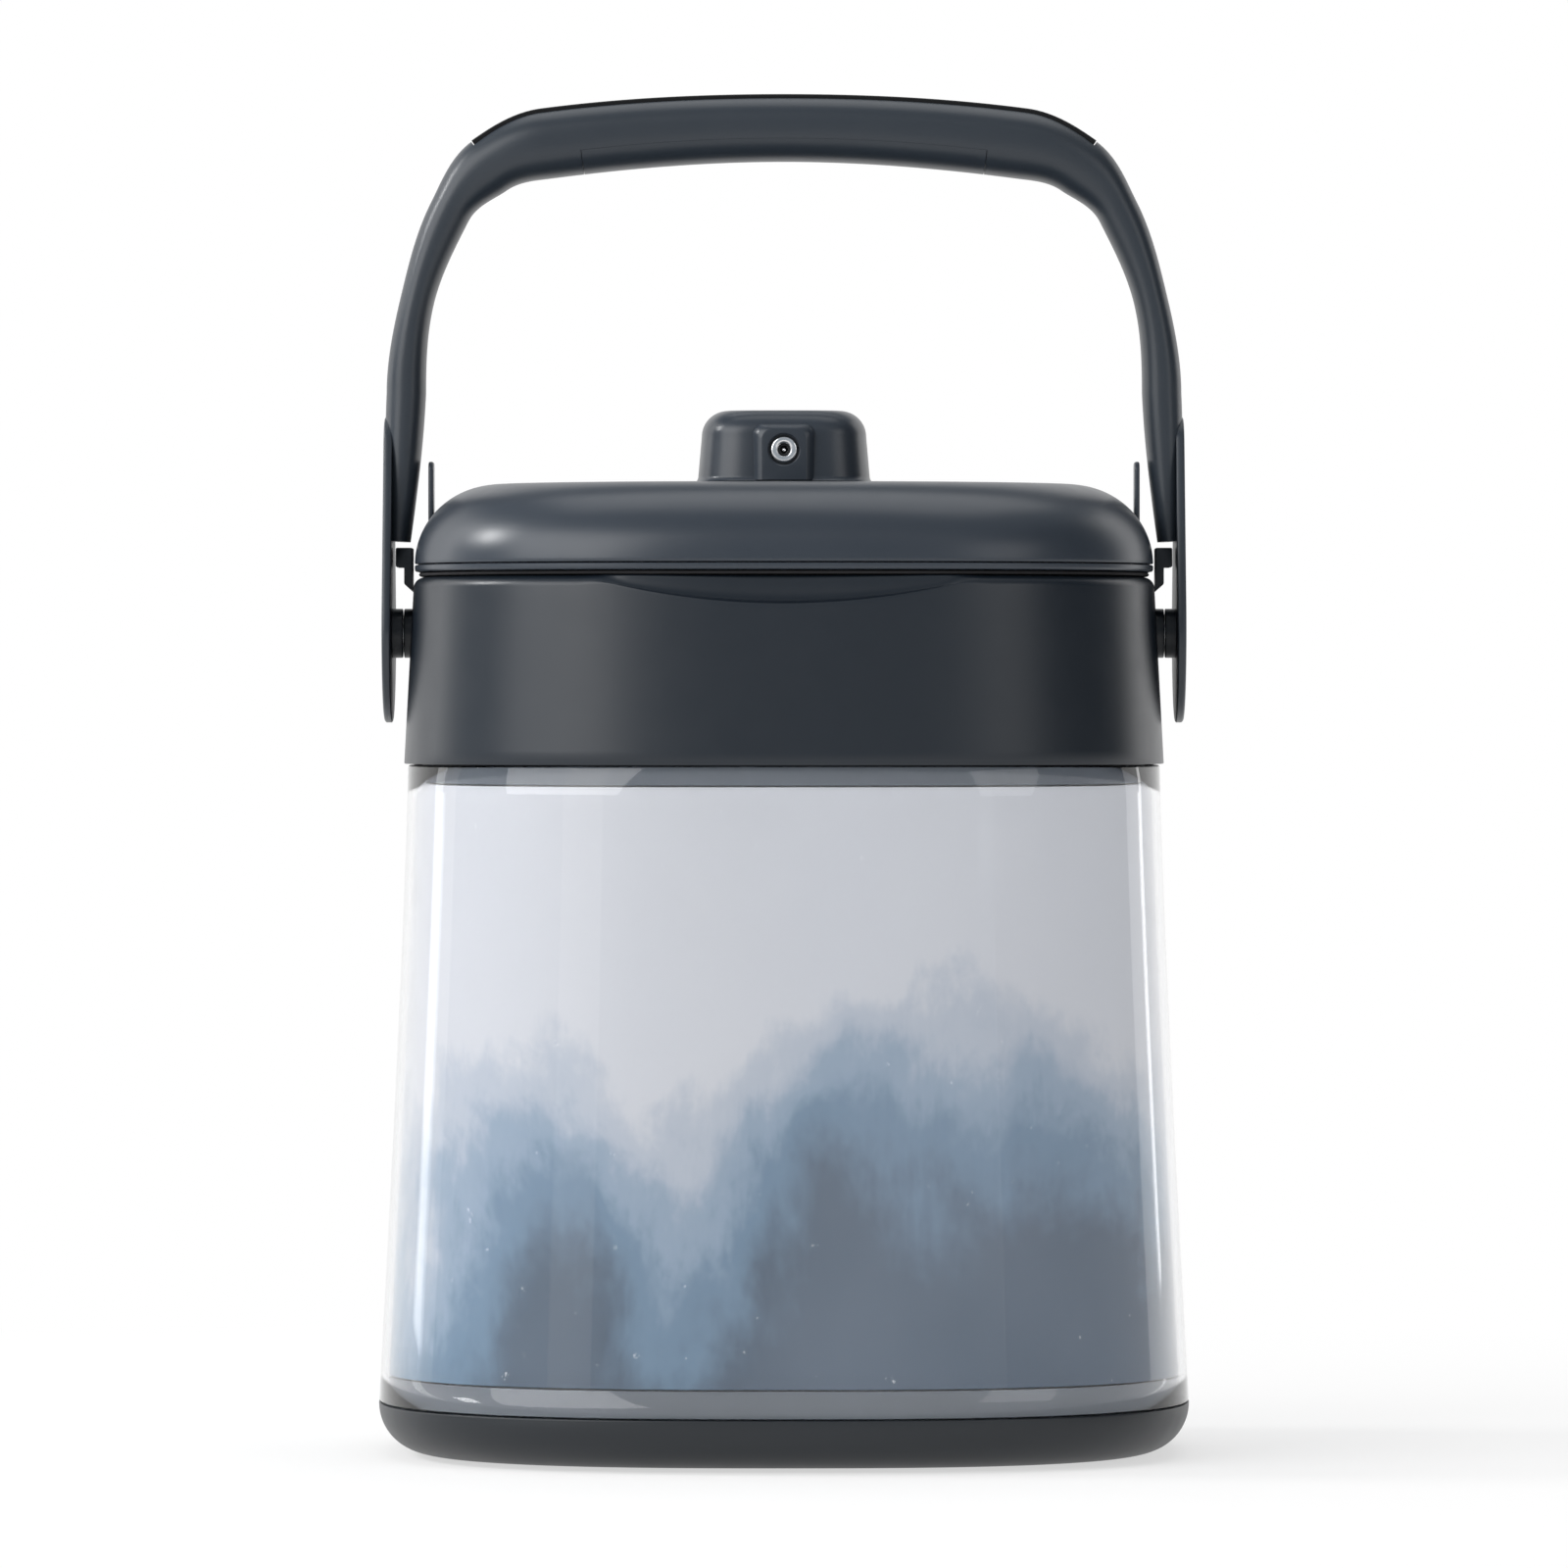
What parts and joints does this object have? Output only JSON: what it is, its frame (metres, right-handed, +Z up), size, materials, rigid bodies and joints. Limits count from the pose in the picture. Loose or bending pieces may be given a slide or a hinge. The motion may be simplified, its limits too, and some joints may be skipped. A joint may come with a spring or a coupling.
{
  "type": "hot cold therapy machine",
  "caption": "Tabletop cold therapy machine: an insulated ice bucket with a clear outer wall, a lift-off lid that carries the water pump, and a swinging carrying handle.",
  "frame": {"origin": "middle of the base on the ground: the underside of the rubber feet is z = 0, centred between the sides and between front and back", "axes": "+Z is up. The front, with the round power socket in the pump hood, faces -Y. +X is to the right as seen from the front, and the handle swings about an axis along X"},
  "size_m": [0.23, 0.2002, 0.3859],
  "materials": {
    "base_plastic": "black, fine texture",
    "foot_rubber": "black rubber",
    "clear_wall": "clear, polished",
    "frosted_print": "printed film with a cloudy frost pattern",
    "grey_band": "mid grey, satin",
    "white_plastic": "white, satin",
    "foam": "closed-cell foam",
    "charcoal_plastic": "charcoal, satin, fine texture",
    "handle_plastic": "charcoal, satin",
    "soft_grip": "black soft-touch",
    "silicone": "translucent grey silicone",
    "screw_steel": "zinc-plated steel",
    "nickel_plate": "nickel plate",
    "black_plastic": "black moulded plastic",
    "circuit_board": "green solder mask",
    "motor_can": "drawn steel can"
  },
  "bodies": {
    "bucket": {"base": "base_plastic", "foot_front_left": "foot_rubber", "foot_front_right": "foot_rubber", "foot_rear_left": "foot_rubber", "foot_rear_right": "foot_rubber", "reservoir_shell": "clear_wall", "frosted_sleeve": "frosted_print", "lower_band": "grey_band", "upper_band": "grey_band", "reservoir_liner": "white_plastic", "base_insulation": "foam", "collar": "charcoal_plastic", "pivot_screw_left": "screw_steel", "pivot_screw_right": "screw_steel"},
    "handle": {"handle_frame": "handle_plastic", "grip_strip": "soft_grip", "grip_pad": "handle_plastic", "pivot_bush_left": "white_plastic", "pivot_bush_right": "white_plastic", "pivot_cap_left": "handle_plastic", "pivot_cap_right": "handle_plastic"},
    "lid": {"lid_cover": "charcoal_plastic", "lid_tray": "charcoal_plastic", "lid_gasket": "foot_rubber", "lid_insulation": "foam", "lid_screw_1": "screw_steel", "lid_screw_2": "screw_steel", "lid_screw_3": "screw_steel", "lid_screw_4": "screw_steel", "pump_hood": "charcoal_plastic", "jack_barrel": "nickel_plate", "jack_core": "black_plastic", "jack_pin": "nickel_plate", "jack_nut": "nickel_plate", "control_board": "circuit_board", "motor_lead": "silicone", "hose_port": "black_plastic", "pump_motor": "motor_can", "pump_column": "white_plastic", "pump_housing": "black_plastic", "intake_strainer": "black_plastic", "supply_pipe": "silicone", "return_pipe": "silicone"},
    "rotor": {"impeller": "white_plastic", "drive_shaft": "screw_steel"}
  },
  "joints": [
    {"name": "handle_swing", "type": "hinge", "parent": "bucket", "child": "handle", "pos_m": [0, 0, 0.2326], "axis": [1, 0, 0], "range_deg": [-90, 90]},
    {"name": "lid_lift", "type": "slide", "parent": "bucket", "child": "lid", "axis": [0, 0, 1], "range_m": [0, 0.028]},
    {"name": "impeller_spin", "type": "hinge", "parent": "lid", "child": "rotor", "pos_m": [0, -0.002, 0.04], "axis": [0, 0, 1], "continuous": true}
  ]
}
